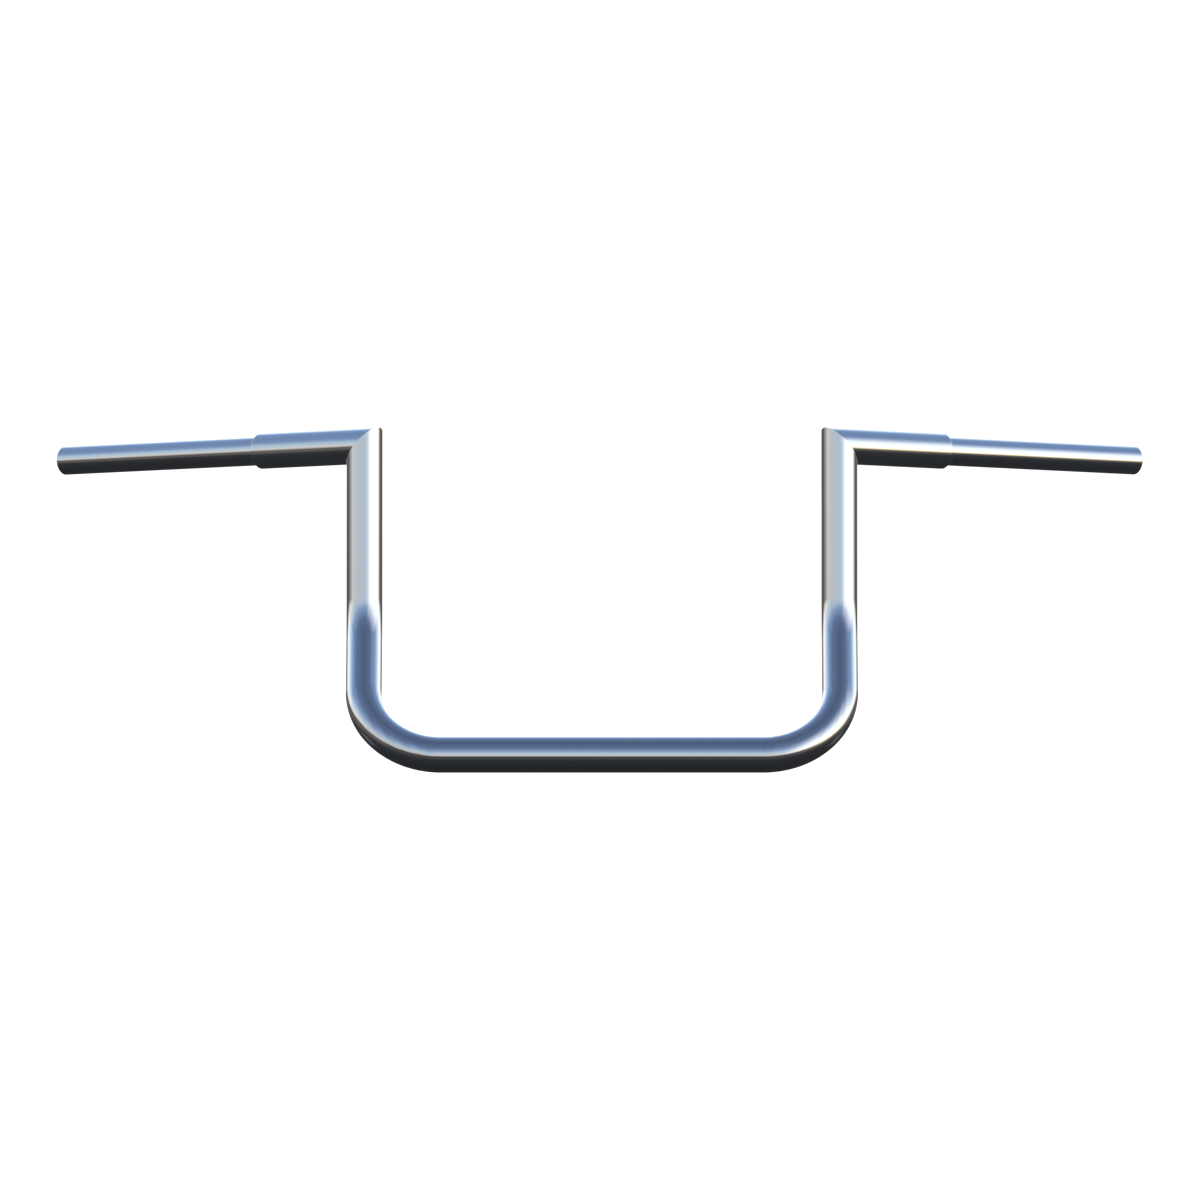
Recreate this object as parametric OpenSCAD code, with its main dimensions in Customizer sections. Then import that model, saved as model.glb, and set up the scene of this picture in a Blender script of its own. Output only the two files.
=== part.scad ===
// Ape hanger handlebar: five steel tubes joined into one rigid bar.
// X runs along the base tube, Z is up, and the front of the motorcycle is at -Y.
// The origin is the middle of the base tube, where the clamps hold it.
// Seen by the rider, the throttle hand is at -X and the clutch hand at +X.

/* [Main tube] */
// Outside diameter of the base, risers and arms
tube_d = 31.75; // [30:0.25:34]
// Wall of the long bent tube
bar_wall = 3.0; // [2:0.1:3.6]
// Radius at the middle of the tube, at the two lower corners
corner_bend_r = 68; // [50:1:80]
// Radius at the middle of the tube, where each riser bends upright
riser_bend_r = 68; // [50:1:80]

/* [Risers] */
// Distance between the two risers, from middle to middle
riser_spacing = 418; // [340:1:520]
// From the base up the leaning lower stretch to the riser's bend
lower_rise = 144; // [125:1:200]
// From the riser's bend up to the arm's middle
upper_rise = 156.5; // [90:0.5:260]
// How far the riser bends upright
riser_bend_angle = 34; // [20:1:45]
// How far the whole bar is tilted back in its clamps
bar_tilt = 15; // [0:1:30]

/* [Arms] */
// From the riser's middle to the arm's outer end
arm_len = 115; // [100:1:160]
// How far the arms sweep back from straight out
pullback_angle = 37; // [10:1:45]
// Rounding of the edge at the arm's outer end
arm_edge_r = 0.6; // [0.3:0.1:1.2]

/* [Grips] */
// Outside diameter where the hand controls and grips slide on
grip_d = 25.4; // [25.2:0.1:26]
// Wall of the grip tubes
grip_wall = 3.05; // [2:0.05:4]
// Uncovered length on the throttle side
throttle_grip_len = 222.5; // [180:0.5:260]
// Uncovered length on the clutch side
clutch_grip_len = 217.5; // [180:0.5:260]
// Turned-down length that is hidden in the arm
spigot_len = 45; // [20:1:60]
// Step from the grip tube down to its spigot
spigot_step = 0.5; // [0.3:0.05:0.8]
// Gap around the spigot in the arm's bore
spigot_clearance = 0.1; // [0.05:0.01:0.15]
// Rounding of the outer edge at the tip
tip_edge_r = 0.9; // [0.4:0.1:1.4]
// Bevel inside the open tip
tip_bevel = 0.5; // [0.3:0.1:1]

/* [Hidden] */
$fn = 96;

tube_r = tube_d / 2;
bar_bore_r = tube_r - bar_wall;
grip_r = grip_d / 2;
grip_bore_r = grip_r - grip_wall;
spigot_r = grip_r - spigot_step;
arm_bore_r = spigot_r + spigot_clearance;

// Straight runs left between the bends
base_run = riser_spacing - 2 * corner_bend_r;
riser_bend_set = riser_bend_r * tan(riser_bend_angle / 2);
lower_run = lower_rise - corner_bend_r - riser_bend_set;
upper_run = upper_rise - riser_bend_set;

// A bent tube swells a little at its bends, which are drawn this much fatter than the straight runs
bend_swell = 0.1;
// Joined shapes reach this far into each other
lap = 0.5;

// An arm stands square to its riser, so their joint is cut at half of that
mitre_angle = 45;
// Both tubes are drawn this far past the joint before it is cut
overrun = tube_d;
// Size of the blocks that cut the joint
cut = 4 * tube_d;

chrome = "lightsteelblue";
THROTTLE = -1;
CLUTCH = 1;

// Middle of the base, looking along it to the clutch side, with x up the leaning lower stretch
module at_base() rotate([-bar_tilt - riser_bend_angle, 0, 0]) rotate([0, -90, 180]) children();

// Straight tube along z, and what follows at its end
module run(r, len) {
    translate([0, 0, -lap]) cylinder(r = r, h = len + 2 * lap);
    past_run(len) children();
}

// Bend from z towards x, and what follows at its end
module bend(r, bend_r, angle) {
    translate([bend_r, 0, 0]) rotate([90, 0, 0])
        rotate_extrude(angle = angle, start = 180 - angle) translate([bend_r, 0]) circle(r + bend_swell);
    past_bend(bend_r, angle) children();
}

module past_run(len) translate([0, 0, len]) children();
module past_bend(bend_r, angle) translate([bend_r, 0, 0]) rotate([0, angle, 0])
    translate([-bend_r, 0, 0]) children();

// Half of the bent bar as a round rod, in the order in which it is bent
module half_rod(r, past) at_base()
    run(r, base_run / 2)
    bend(r, corner_bend_r, 90)
    run(r, lower_run) rotate([0, 0, 90])
    bend(r, riser_bend_r, riser_bend_angle)
    run(r, upper_run + past);

// The same walk with nothing drawn: children start where the axes of riser and arm cross,
// with z up the riser and x out along the arm
module at_joint(side) mirror([side < 0 ? 1 : 0, 0, 0]) at_base()
    past_run(base_run / 2)
    past_bend(corner_bend_r, 90)
    past_run(lower_run) rotate([0, 0, 90])
    past_bend(riser_bend_r, riser_bend_angle)
    past_run(upper_run) rotate([0, 0, 90 + pullback_angle])
    children();

module rod(r, past) {
    half_rod(r, past);
    mirror([1, 0, 0]) half_rod(r, past);
}

// Everything on one side of the mitre plane
module beyond_mitre(above) rotate([0, mitre_angle, 0])
    translate([-cut / 2, -cut / 2, above ? 0 : -cut]) cube(cut);

// Bent bar with its bore, mitred at the top of each riser
module center_bar() color(chrome) difference() {
    rod(tube_r, overrun);
    rod(bar_bore_r, overrun + lap);
    for (side = [THROTTLE, CLUTCH]) at_joint(side) beyond_mitre(above = true);
}

// Half cross-section of a tube, with its outer edge rounded at the far end
module wall_profile(bore_r, outer_r, from, to, edge_r) {
    translate([bore_r, from]) square([outer_r - bore_r, to - edge_r - from]);
    translate([bore_r, to - 2 * edge_r]) square([outer_r - edge_r - bore_r, 2 * edge_r]);
    translate([outer_r - edge_r, to - edge_r]) circle(edge_r);
}

// Arm, mitred to its riser and cut square at the outer end
module arm(side) color(chrome) at_joint(side) difference() {
    rotate([0, 90, 0]) rotate_extrude() wall_profile(arm_bore_r, tube_r, -overrun, arm_len, arm_edge_r);
    beyond_mitre(above = false);
}

// Grip tube, whose turned-down spigot sits in the arm's bore
module grip_tube(side, len) color(chrome) at_joint(side) translate([arm_len, 0, 0]) rotate([0, 90, 0])
    difference() {
        rotate_extrude() {
            wall_profile(grip_bore_r, grip_r, 0, len, tip_edge_r);
            translate([grip_bore_r, -spigot_len]) square([spigot_r - grip_bore_r, spigot_len + lap]);
        }
        translate([0, 0, len - tip_bevel])
            cylinder(r1 = grip_bore_r, r2 = grip_bore_r + 2 * tip_bevel, h = 2 * tip_bevel);
    }

module throttle_arm() arm(THROTTLE);
module clutch_arm() arm(CLUTCH);
module throttle_grip_tube() grip_tube(THROTTLE, throttle_grip_len);
module clutch_grip_tube() grip_tube(CLUTCH, clutch_grip_len);

center_bar();
throttle_arm();
clutch_arm();
throttle_grip_tube();
clutch_grip_tube();
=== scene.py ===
import math

import bmesh
import bpy
import numpy as np
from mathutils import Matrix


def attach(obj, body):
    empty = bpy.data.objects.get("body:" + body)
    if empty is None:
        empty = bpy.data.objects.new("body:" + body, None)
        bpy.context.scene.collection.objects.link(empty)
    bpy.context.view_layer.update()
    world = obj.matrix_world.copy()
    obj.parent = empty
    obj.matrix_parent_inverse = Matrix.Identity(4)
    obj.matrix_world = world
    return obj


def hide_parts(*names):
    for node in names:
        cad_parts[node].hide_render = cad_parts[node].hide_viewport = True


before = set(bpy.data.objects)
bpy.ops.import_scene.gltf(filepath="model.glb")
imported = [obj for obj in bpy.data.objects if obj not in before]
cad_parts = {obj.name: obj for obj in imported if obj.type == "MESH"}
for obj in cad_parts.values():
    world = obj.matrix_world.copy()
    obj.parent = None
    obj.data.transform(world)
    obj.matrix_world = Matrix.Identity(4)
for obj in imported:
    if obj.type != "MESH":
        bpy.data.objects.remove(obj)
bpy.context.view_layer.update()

# Sizes in metres, as in the part's source
MM = 0.001
TUBE_R, BAR_WALL, BEND_R = 15.875 * MM, 3 * MM, 68 * MM
RISER_SPACING, LOWER_RISE, UPPER_RISE = 418 * MM, 144 * MM, 156.5 * MM
BAR_TILT, RISER_BEND, PULLBACK = math.radians(15), math.radians(34), math.radians(37)
ARM_LEN, ARM_EDGE_R = 115 * MM, 0.6 * MM
GRIP_R, GRIP_WALL = 12.7 * MM, 3.05 * MM
THROTTLE_LEN, CLUTCH_LEN = 222.5 * MM, 217.5 * MM
TIP_EDGE_R, TIP_BEVEL = 0.9 * MM, 0.5 * MM
SPIGOT_LEN, SPIGOT_STEP, SPIGOT_CLEARANCE = 45 * MM, 0.5 * MM, 0.1 * MM
THROTTLE, CLUTCH = -1, 1

BAR_BORE_R = TUBE_R - BAR_WALL
GRIP_BORE_R = GRIP_R - GRIP_WALL
SPIGOT_R = GRIP_R - SPIGOT_STEP
ARM_BORE_R = SPIGOT_R + SPIGOT_CLEARANCE
# Straight runs left between the bends
RISER_BEND_SET = BEND_R * math.tan(RISER_BEND / 2)
BASE_RUN = RISER_SPACING - 2 * BEND_R
LOWER_RUN = LOWER_RISE - BEND_R - RISER_BEND_SET
UPPER_RUN = UPPER_RISE - RISER_BEND_SET

# Points around a tube and on a rounded edge, and rings in each bend. The bore has every third ring.
AROUND, EDGE_POINTS = 160, 8
CORNER_RINGS, RISER_RINGS, BORE_EVERY = 90, 34, 3
# Edges sharper than this stay crisp, and a ring this close to one keeps the shading beside it clean
SHARP, SUPPORT = math.radians(42), 0.4 * MM
# Points closer than this, in metres, are one point
SAME_POINT = 1e-7

TURN = np.linspace(0, 2 * np.pi, AROUND, endpoint=False)
X, Z = np.array([1.0, 0.0, 0.0]), np.array([0.0, 0.0, 1.0])
MIRROR = np.array([-1, 1, 1])


# Shapes
def turned(v, axis, angle):
    """Vectors v turned about a unit axis: the part along the axis stays, the rest turns by the angle."""
    v = np.asarray(v, float)
    along = (v @ axis)[..., None] * axis
    return along + (v - along) * math.cos(angle) + np.cross(axis, v) * math.sin(angle)


def closed_piece(name, rows, inside, materials):
    """A closed skin from a grid of points: row by row along the tube's wall, out along the outside and
    back along the bore, and around the tube within a row. Both directions close on themselves.
    inside is true for the rows whose faces lie in the bore."""
    n, m = rows.shape[:2]
    index = np.arange(n * m).reshape(n, m)
    down, right = np.roll(index, -1, 0), np.roll(index, -1, 1)
    quads = np.stack([index, right, np.roll(down, -1, 1), down], -1).reshape(-1, 4)
    p = rows.reshape(-1, 3)
    a, b, c, d = (p[quads[:, i]] for i in range(4))
    volume = (np.cross(b - a, c - a) * a).sum() + (np.cross(c - a, d - a) * a).sum()
    if volume < 0:
        quads = quads[:, ::-1]
    mesh = bpy.data.meshes.new(name)
    mesh.from_pydata(p.tolist(), [], quads.tolist())
    mesh.polygons.foreach_set("material_index", np.repeat(np.asarray(inside, np.int32), m))
    work = bmesh.new()
    work.from_mesh(mesh)
    bmesh.ops.remove_doubles(work, verts=work.verts, dist=SAME_POINT)
    work.to_mesh(mesh)
    work.free()
    for material in materials:
        mesh.materials.append(material)
    mesh.shade_smooth()
    mesh.set_sharp_from_angle(angle=SHARP)
    piece = bpy.data.objects.new(name, mesh)
    bpy.context.scene.collection.objects.link(piece)
    return piece


def half_path():
    """Stations along the middle of the bent tube, from the middle of the base to the arm's axis: each has
    a place, and the two directions across the tube, which turn with it at each bend."""
    low = turned(Z, -X, BAR_TILT + RISER_BEND)
    place, ahead, across = np.zeros(3), X, np.array([low, np.cross(X, low)])
    stations = [(place, across)]

    def run(length):
        nonlocal place
        for step in (SUPPORT, length - SUPPORT, length):
            stations.append((place + ahead * step, across))
        place = place + ahead * length

    def bend(side, angle, rings):
        nonlocal place, ahead, across
        axis = np.cross(ahead, side)
        centre = place + side * BEND_R
        for t in np.linspace(0, angle, rings + 1)[1:]:
            stations.append((centre + turned(place - centre, axis, t), turned(across, axis, t)))
        place, across = stations[-1]
        ahead = turned(ahead, axis, angle)

    run(BASE_RUN / 2)
    bend(low, math.pi / 2, CORNER_RINGS)
    run(LOWER_RUN)
    bend(np.cross(X, ahead), RISER_BEND, RISER_RINGS)
    run(UPPER_RUN)
    return stations, place, ahead


STATIONS, JOINT, UP = half_path()
OUT = turned(X, UP, PULLBACK)
ACROSS_ARM = np.array([UP, np.cross(OUT, UP)])


def circle(across):
    """Unit directions around a tube, from its two directions across."""
    return np.cos(TURN)[:, None] * across[0] + np.sin(TURN)[:, None] * across[1]


def mitred_end(ring, along, other, r):
    """Rows at a mitred end, a support row and the mitre itself: each line along the tube runs until it
    meets the plane halfway between the two tubes."""
    edge = -(ring @ other)[:, None] * r
    return [JOINT + ring * r + along * (edge - SUPPORT), JOINT + ring * r + along * edge]


def bent_bar(materials):
    """The long bent tube: circles along the walk's stations, ending in the mitres, and the same again at
    the bore's radius. The left half mirrors the right."""
    ring = circle(STATIONS[-1][1])
    *walk, last = STATIONS[:-2]

    def whole(r, every):
        rows = [place + circle(across) * r for place, across in walk[::every] + [last]]
        right = np.array(rows + mitred_end(ring, UP, OUT, r))
        return np.concatenate([right[:0:-1] * MIRROR, right])

    outside, bore = whole(TUBE_R, 1), whole(BAR_BORE_R, BORE_EVERY)[::-1]
    inside = [0] * len(outside) + [1] * (len(bore) - 1) + [0]
    return closed_piece("bent_bar", np.concatenate([outside, bore]), inside, materials)


def rounded(r, end, edge_r):
    """Profile points (radius, distance) of an outer edge rounded by a quarter circle, with a support
    point before it."""
    points = [(r, end - edge_r - SUPPORT)]
    for t in np.linspace(0, np.pi / 2, EDGE_POINTS):
        points.append((r - edge_r + edge_r * math.cos(t), end - edge_r + edge_r * math.sin(t)))
    return points


def revolved(profile):
    """Circles around the arm's axis, one for each (radius, distance from the joint's middle)."""
    ring = circle(ACROSS_ARM)
    return [JOINT + ring * r + OUT * d for r, d in profile]


def arm(name, side, materials):
    """An arm: lines from the mitre to the outer end, a rounded edge, the end's ring, and the bore back."""
    ring = circle(ACROSS_ARM)
    start = mitred_end(ring, -OUT, -UP, TUBE_R)[::-1]
    end = revolved(rounded(TUBE_R, ARM_LEN, ARM_EDGE_R))
    bore = revolved([(ARM_BORE_R, ARM_LEN), (ARM_BORE_R, ARM_LEN - SUPPORT)])
    back = mitred_end(ring, -OUT, -UP, ARM_BORE_R)
    rows = np.array(start + end + bore + back) * (side, 1, 1)
    inside = [0] * (len(start) + len(end)) + [1] * (len(bore) + len(back) - 1) + [0]
    return closed_piece(name, rows, inside, materials)


def grip_tube(name, side, length, materials):
    """A grip tube, turned: spigot, shoulder, the long outside, the rounded and bevelled tip, and the
    bore."""
    tip = ARM_LEN + length
    spigot = [(SPIGOT_R, ARM_LEN - SPIGOT_LEN), (SPIGOT_R, ARM_LEN)]
    shoulder = [(GRIP_R, ARM_LEN), (GRIP_R, ARM_LEN + SUPPORT)]
    end = rounded(GRIP_R, tip, TIP_EDGE_R) + [(GRIP_BORE_R + TIP_BEVEL, tip)]
    outside = spigot + shoulder + end
    bore = [(GRIP_BORE_R, tip - TIP_BEVEL), (GRIP_BORE_R, ARM_LEN - SPIGOT_LEN)]
    rows = np.array(revolved(outside + bore)) * (side, 1, 1)
    inside = [0] * len(outside) + [1, 0]
    return closed_piece(name, rows, inside, materials)


# Shader nodes
class Wiring:
    """Adds nodes to a node tree. Each method puts in a node, wires it, and gives back its output."""

    def __init__(self, tree):
        self.nodes, self.links = tree.nodes, tree.links

    def put(self, value, socket):
        """Sets a number or a colour on the socket, or links another node's output to it."""
        if isinstance(value, (int, float, tuple)):
            socket.default_value = value
        else:
            self.links.new(value, socket)

    def calc(self, operation, *values):
        """One step of arithmetic."""
        node = self.nodes.new("ShaderNodeMath")
        node.operation = operation
        for value, socket in zip(values, node.inputs):
            self.put(value, socket)
        return node.outputs[0]

    def step(self, value, faded, full, shape="SMOOTHSTEP"):
        """0 at faded and 1 at full, with a step of this shape in between. Either may be the lower one."""
        node = self.nodes.new("ShaderNodeMapRange")
        node.interpolation_type = shape
        self.put(value, node.inputs["Value"])
        node.inputs["From Min"].default_value = min(faded, full)
        node.inputs["From Max"].default_value = max(faded, full)
        node.inputs["To Min"].default_value = int(faded > full)
        node.inputs["To Max"].default_value = int(faded < full)
        return node.outputs[0]

    def noise(self, place, scale, detail):
        """Soft noise, mostly between 0.3 and 0.7."""
        node = self.nodes.new("ShaderNodeTexNoise")
        for name, value in (("Vector", place), ("Scale", scale), ("Detail", detail)):
            self.put(value, node.inputs[name])
        return node.outputs["Fac"]

    def mix(self, share, a, b):
        """Colour a where the share is 0, and colour b where it is 1."""
        node = self.nodes.new("ShaderNodeMix")
        node.data_type = "RGBA"
        self.put(share, node.inputs["Factor"])
        for color, socket in zip((a, b), (s for s in node.inputs if s.type == "RGBA")):
            self.put(color, socket)
        return next(socket for socket in node.outputs if socket.type == "RGBA")


# Finishes
# How fine the polishing lines are, their share beside the cloudy patches, and the noise's detail in both
LINE_SCALE, LINE_SHARE = 900, 0.4
PATCH_DETAIL, LINE_DETAIL = 3, 2
# Sums of both noises at which the metal is at its smoothest and at its roughest
SMOOTHEST, ROUGHEST = 0.45, 0.95


def polish_group():
    """Shared effect: how evenly a metal is polished. It puts out a roughness that varies in soft cloudy
    patches and along fine lines, and a bump height for the slight unevenness under the plating."""
    group = bpy.data.node_groups.new("polish", "ShaderNodeTree")
    for name, value in (("Roughness", 0.05), ("Variation", 0.03), ("Patch scale", 20.0)):
        socket = group.interface.new_socket(name, in_out="INPUT", socket_type="NodeSocketFloat")
        socket.default_value = value
    for name in ("Roughness", "Height"):
        group.interface.new_socket(name, in_out="OUTPUT", socket_type="NodeSocketFloat")
    wiring = Wiring(group)
    given, result = wiring.nodes.new("NodeGroupInput"), wiring.nodes.new("NodeGroupOutput")
    place = wiring.nodes.new("ShaderNodeTexCoord").outputs["Object"]
    patches = wiring.noise(place, given.outputs["Patch scale"], PATCH_DETAIL)
    lines = wiring.noise(place, LINE_SCALE, LINE_DETAIL)
    both = wiring.calc("MULTIPLY_ADD", lines, LINE_SHARE, patches)
    uneven = wiring.step(both, SMOOTHEST, ROUGHEST, "LINEAR")
    rough = wiring.calc("MULTIPLY_ADD", uneven, given.outputs["Variation"], given.outputs["Roughness"])
    wiring.put(rough, result.inputs["Roughness"])
    wiring.put(patches, result.inputs["Height"])
    return group


def metal(name, color, roughness, variation, patch_scale, bump):
    """A metal whose roughness and height come from the shared polish."""
    material = bpy.data.materials.new(name)
    material.use_nodes = True
    wiring = Wiring(material.node_tree)
    shader = wiring.nodes["Principled BSDF"]
    shader.inputs["Base Color"].default_value = (*color, 1)
    shader.inputs["Metallic"].default_value = 1
    polish = wiring.nodes.new("ShaderNodeGroup")
    polish.node_tree = POLISH
    polish.inputs["Roughness"].default_value = roughness
    polish.inputs["Variation"].default_value = variation
    polish.inputs["Patch scale"].default_value = patch_scale
    lift = wiring.nodes.new("ShaderNodeBump")
    lift.inputs["Distance"].default_value = bump
    wiring.put(polish.outputs["Height"], lift.inputs["Height"])
    wiring.put(polish.outputs["Roughness"], shader.inputs["Roughness"])
    wiring.put(lift.outputs["Normal"], shader.inputs["Normal"])
    return material


POLISH = polish_group()
PLATE_REFLECTANCE = 0.86
PLATE = metal("chrome_plate", color=(PLATE_REFLECTANCE, 0.865, 0.87), roughness=0.03, variation=0.03,
              patch_scale=18, bump=0.02 * MM)
# Drawn steel for the bore, with its base colour darkened well below the steel's own: painted shade for the
# inside of the tubes, which the metal doesn't get from its own walls
BORE_STEEL_PAINTED_SHADE = metal("drawn_steel_bore_painted_shade", color=(0.16, 0.155, 0.15), roughness=0.38, variation=0.2,
             patch_scale=60, bump=0.2 * MM)
FINISHES = [PLATE, BORE_STEEL_PAINTED_SHADE]

PIECES = {
    "center_bar": bent_bar(FINISHES),
    "throttle_arm": arm("throttle_arm_skin", THROTTLE, FINISHES),
    "clutch_arm": arm("clutch_arm_skin", CLUTCH, FINISHES),
    "throttle_grip_tube": grip_tube("throttle_grip_skin", THROTTLE, THROTTLE_LEN, FINISHES),
    "clutch_grip_tube": grip_tube("clutch_grip_skin", CLUTCH, CLUTCH_LEN, FINISHES),
}
for node, piece in PIECES.items():
    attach(piece, "root")
    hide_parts(node)
    # The metal mirrors its surroundings and none of its own parts
    piece.visible_glossy = False


# Surroundings, as display colours from 0 to 255. Above 255 is brighter than white.
CREAM, WHITE, GLOW = (240, 240, 230), (260, 260, 260), (275, 275, 275)
PALE_BLUE, LIGHT_BLUE, BLUE = (215, 235, 255), (170, 200, 230), (122, 150, 194)
SLATE_BLUE, DEEP_BLUE = (92, 111, 145), (73, 90, 118)
WARM_HAZE, LIGHT_HAZE, BLUE_HAZE = (165, 150, 140), (180, 185, 185), (155, 165, 175)
EARTH, ROAD, TAR, PITCH = (95, 91, 89), (48, 50, 53), (40, 42, 45), (33, 35, 38)
SHADE, WARM_GROUND, PALE_GROUND, DUSK = (54, 58, 60), (260, 240, 180), (82, 86, 92), (70, 69, 74)
# What camera rays see, and the plain light on what isn't polished
BACKDROP, AMBIENT = (1.0, 1.0, 1.0, 1.0), (0.6, 0.6, 0.6, 1.0)

# Colours by height above the horizon, in degrees
SKY = [(0, CREAM), (6, WHITE), (10, WHITE), (15, PALE_BLUE), (25, LIGHT_BLUE), (32, BLUE),
       (55, SLATE_BLUE), (90, DEEP_BLUE)]
HAZE = [(0, WARM_HAZE), (8, LIGHT_HAZE), (24, BLUE_HAZE)]
GROUND = [(-90, PITCH), (-40, TAR), (-20, ROAD), (-9, EARTH), (0, DUSK)]

# Patches of haze, glow and ground. By compass, in degrees from the front: the middle, and the full and
# the faded half width. By height: where the patch has faded and where it is full.
HAZE_PLACE, HAZE_HEIGHT = (-35, 15, 125), (55, 0)
GLOW_PLACE, GLOW_HEIGHT = (65, 20, 52), (65, -10)
SHADE_PLACE, SHADE_HEIGHT = (-10, 30, 60), (-30, 0)
WARM_PLACE, WARM_HEIGHT = (75, 5, 45), (-10, 0)
# Pale ground lies far out on both sides, and the white background straight behind. Both are low bands,
# whose height is also given as the middle, and the full and the faded half width.
PALE_PLACE, PALE_BAND = (112, 4, 20), (-28, 2, 11)
BACKDROP_PLACE, BACKDROP_BAND = (180, 10, 14), (-12, 10, 14)
# The skyline is a little raised in front and lowered behind, in degrees, and ends softly
RAISED_PLACE, RAISED = (-25, 70, 90), 1.5
LOWERED_PLACE, LOWERED = (180, 0, 45), 9
SKYLINE_BLUR = 5
# Upright streaks in the sky: how fine they are around the compass, and their strength in degrees
STREAK_FINENESS, STREAK_DETAIL, STREAK_STRENGTH = 10, 3, 20

DEGREES = 180 / math.pi
SRGB_KNEE, SRGB_SLOPE, SRGB_OFFSET, SRGB_POWER = 0.04045, 12.92, 0.055, 2.4


def light(color):
    """The light that polished plate shows as this display colour: the display's own curve, undone, and
    divided by what the plate sends back."""
    c = np.asarray(color, float) / 255
    curved = ((c + SRGB_OFFSET) / (1 + SRGB_OFFSET)) ** SRGB_POWER
    linear = np.where(c > SRGB_KNEE, curved, c / SRGB_SLOPE)
    return (*(linear / PLATE_REFLECTANCE), 1)


class WorldWiring(Wiring):
    """Wiring for the world, where each ray looks in a direction: compass, in degrees from the front, and
    height, in degrees above the horizon."""

    def __init__(self, tree):
        super().__init__(tree)
        parts = self.nodes.new("ShaderNodeSeparateXYZ")
        self.put(self.nodes.new("ShaderNodeTexCoord").outputs["Generated"], parts.inputs[0])
        east, north, up = parts.outputs
        self.turn = self.calc("ARCTAN2", east, self.calc("MULTIPLY", north, -1))
        self.compass = self.calc("MULTIPLY", self.turn, DEGREES)
        self.height = self.calc("MULTIPLY", self.calc("ARCSINE", up), DEGREES)

    def patch(self, place):
        """1 in the full half width around the middle of a place by compass, fading to 0."""
        middle, full, faded = place
        away = self.calc("PINGPONG", self.calc("SUBTRACT", self.compass, middle), 180)
        return self.step(away, faded, full)

    def band(self, angle, place):
        """The same for any angle that doesn't go round."""
        middle, full, faded = place
        return self.step(self.calc("ABSOLUTE", self.calc("SUBTRACT", angle, middle)), faded, full)

    def both(self, a, b):
        """Where two masks meet."""
        return self.calc("MULTIPLY", a, b)

    def ramp(self, stops, height):
        """Colours by height, evenly mixed between one stop and the next."""
        node = self.nodes.new("ShaderNodeValToRGB")
        elements = node.color_ramp.elements
        while len(elements) < len(stops):
            elements.new(0.5)
        for element, (angle, color) in zip(elements, stops):
            element.position = (angle + 90) / 180
            element.color = light(color)
        self.put(self.calc("DIVIDE", self.calc("ADD", height, 90), 180), node.inputs[0])
        return node.outputs[0]

    def streaks(self):
        """Upright streaks, as degrees of height: noise that changes with the compass alone. It is read
        on a circle, so that it has no seam behind."""
        around = self.nodes.new("ShaderNodeCombineXYZ")
        self.put(self.calc("SINE", self.turn), around.inputs["X"])
        self.put(self.calc("COSINE", self.turn), around.inputs["Y"])
        noise = self.noise(around.outputs[0], STREAK_FINENESS, STREAK_DETAIL)
        return self.calc("MULTIPLY", self.calc("SUBTRACT", noise, 0.5), STREAK_STRENGTH)


def open_sky(world):
    """The sky by height, with streaks, a grey haze and a white glow."""
    air = world.calc("ADD", world.height, world.streaks())
    haze = world.both(world.patch(HAZE_PLACE), world.step(air, *HAZE_HEIGHT))
    glow = world.both(world.patch(GLOW_PLACE), world.step(air, *GLOW_HEIGHT))
    hazy = world.mix(haze, world.ramp(SKY, air), world.ramp(HAZE, air))
    return world.mix(glow, hazy, light(GLOW))


def dark_ground(world, above):
    """The ground by height below the skyline, with a shaded patch, a warm one and two pale ones."""
    shade = world.both(world.patch(SHADE_PLACE), world.step(above, *SHADE_HEIGHT))
    warm = world.both(world.patch(WARM_PLACE), world.step(above, *WARM_HEIGHT))
    sides = world.band(world.calc("ABSOLUTE", world.compass), PALE_PLACE)
    pale = world.both(sides, world.band(world.height, PALE_BAND))
    ground = world.mix(shade, world.ramp(GROUND, above), light(SHADE))
    ground = world.mix(warm, ground, light(WARM_GROUND))
    return world.mix(pale, ground, light(PALE_GROUND))


def outdoors(world):
    """What the metal mirrors: open sky above dark ground, with a soft skyline between them."""
    raised = world.calc("MULTIPLY", world.patch(RAISED_PLACE), RAISED)
    lowered = world.calc("MULTIPLY", world.patch(LOWERED_PLACE), LOWERED)
    above = world.calc("ADD", world.calc("SUBTRACT", world.height, raised), lowered)
    in_sky = world.step(above, -SKYLINE_BLUR, SKYLINE_BLUR)
    return world.mix(in_sky, dark_ground(world, above), open_sky(world))


def surroundings():
    """The world. Camera rays and rays through glass see white, and so do mirrored rays close to the
    view's own direction, where the white background lies. All other mirrored rays see the outdoors."""
    scene_world = bpy.data.worlds.new("surroundings")
    bpy.context.scene.world = scene_world
    scene_world.use_nodes = True
    scene_world.node_tree.nodes.clear()
    world = WorldWiring(scene_world.node_tree)
    rays = world.nodes.new("ShaderNodeLightPath").outputs
    behind = world.both(world.patch(BACKDROP_PLACE), world.band(world.height, BACKDROP_BAND))
    white = world.calc("MAXIMUM", rays["Is Camera Ray"], rays["Is Transmission Ray"])
    white = world.calc("MAXIMUM", white, world.both(rays["Is Glossy Ray"], behind))
    around = world.mix(rays["Is Glossy Ray"], AMBIENT, outdoors(world))
    background = world.nodes.new("ShaderNodeBackground")
    world.put(world.mix(white, around, BACKDROP), background.inputs["Color"])
    output = world.nodes.new("ShaderNodeOutputWorld")
    world.put(background.outputs[0], output.inputs["Surface"])


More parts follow.
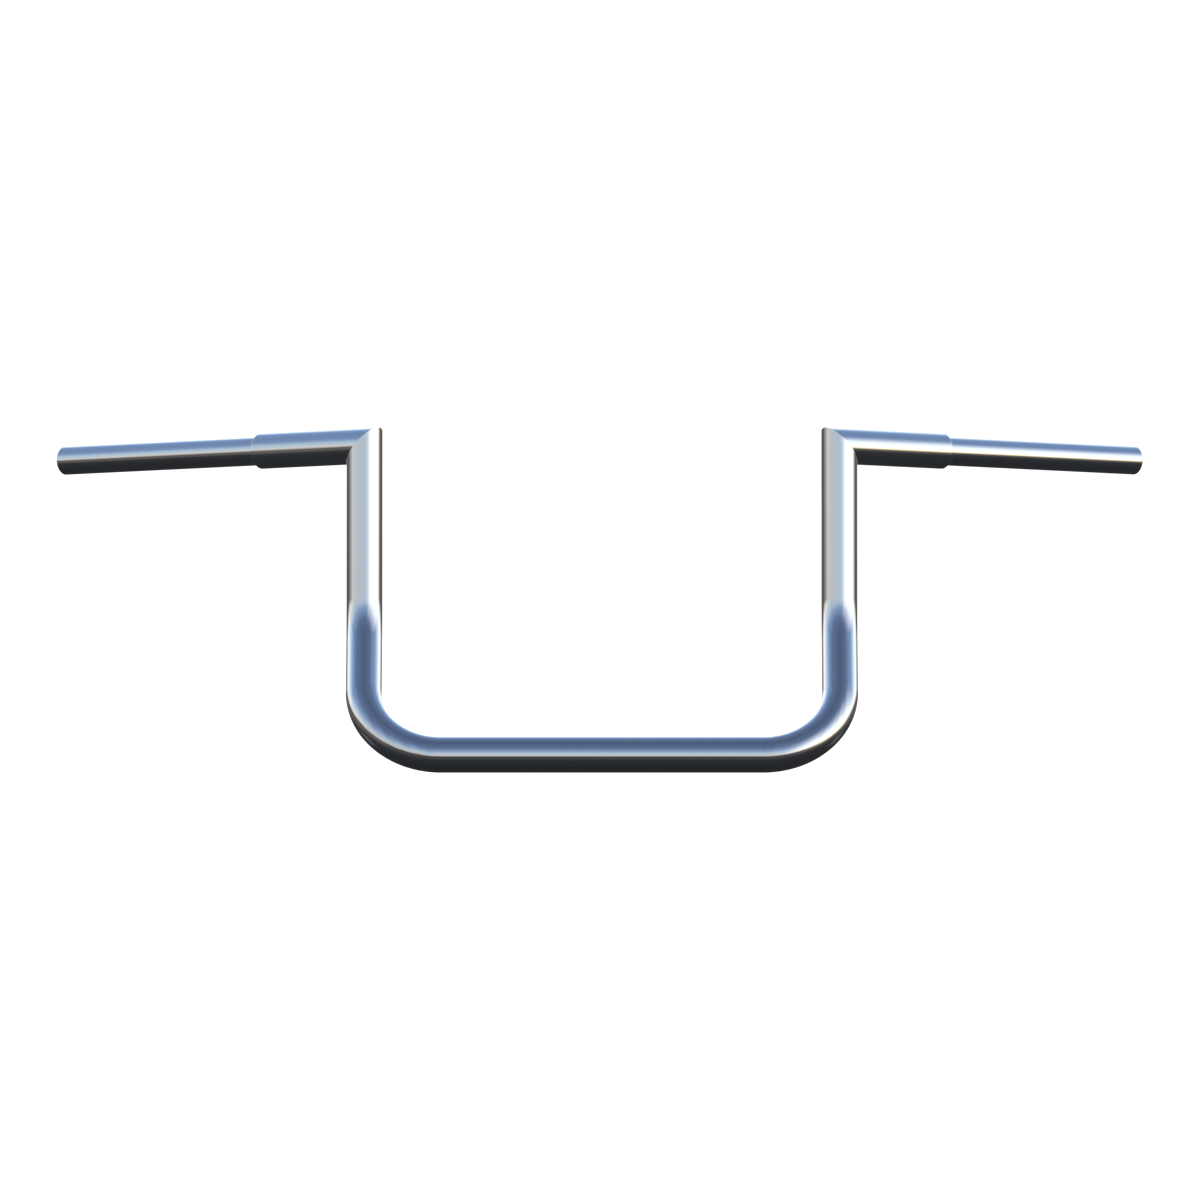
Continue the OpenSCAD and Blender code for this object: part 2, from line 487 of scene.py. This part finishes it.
# Floor, lamp and camera, in metres, watts and degrees
FLOOR_HEIGHT, FLOOR_REACH = -0.5, 30
FLOOR_COLOR, FLOOR_GLOW = (0.8, 0.8, 0.8, 1), 0.62
LAMP_PLACE, LAMP_TILT = (0.6, -0.8, 3.0), (15, 11, 0)
LAMP_SIZE, LAMP_POWER = 2.5, 60
CAMERA_PLACE, CAMERA_TILT = (-0.0017, -15.830, 3.44543), 11.8
CAMERA_REACH = 200
# Focal length and film width, in millimetres
LENS, FILM_WIDTH = 555.2, 36


def floor():
    """A plain pale floor well below the bar. Its own glow for the camera brings it to white, and the
    bar's soft shadow stays on it. Polished metal looks past it at the surroundings."""
    mesh = bpy.data.meshes.new("floor")
    near, far, height = -FLOOR_REACH, FLOOR_REACH, FLOOR_HEIGHT
    corners = [(near, near, height), (far, near, height), (far, far, height), (near, far, height)]
    mesh.from_pydata(corners, [], [(0, 1, 2, 3)])
    material = bpy.data.materials.new("pale_floor")
    material.use_nodes = True
    wiring = Wiring(material.node_tree)
    shader = wiring.nodes["Principled BSDF"]
    shader.inputs["Base Color"].default_value = FLOOR_COLOR
    shader.inputs["Roughness"].default_value = 0.9
    shader.inputs["Specular IOR Level"].default_value = 0
    shader.inputs["Emission Color"].default_value = (1, 1, 1, 1)
    for_camera = wiring.nodes.new("ShaderNodeLightPath").outputs["Is Camera Ray"]
    wiring.put(wiring.calc("MULTIPLY", for_camera, FLOOR_GLOW), shader.inputs["Emission Strength"])
    mesh.materials.append(material)
    obj = bpy.data.objects.new("floor", mesh)
    bpy.context.scene.collection.objects.link(obj)
    obj.visible_glossy = False


def soft_light():
    """One broad lamp above for the floor's shadow. Metal doesn't mirror its square shape."""
    lamp = bpy.data.lights.new("soft_light", "AREA")
    lamp.size, lamp.energy = LAMP_SIZE, LAMP_POWER
    obj = bpy.data.objects.new("soft_light", lamp)
    obj.location = LAMP_PLACE
    obj.rotation_euler = [math.radians(a) for a in LAMP_TILT]
    obj.visible_glossy = False
    bpy.context.scene.collection.objects.link(obj)


def camera():
    """A very long lens, almost without perspective, a little above the bar and straight in front."""
    lens = bpy.data.cameras.new("camera")
    lens.lens, lens.sensor_width, lens.clip_end = LENS, FILM_WIDTH, CAMERA_REACH
    obj = bpy.data.objects.new("camera", lens)
    obj.location = CAMERA_PLACE
    obj.rotation_euler = (math.radians(90 - CAMERA_TILT), 0, 0)
    bpy.context.scene.collection.objects.link(obj)
    bpy.context.scene.camera = obj


surroundings()
floor()
soft_light()
camera()
bpy.context.scene.view_settings.view_transform = "Standard"
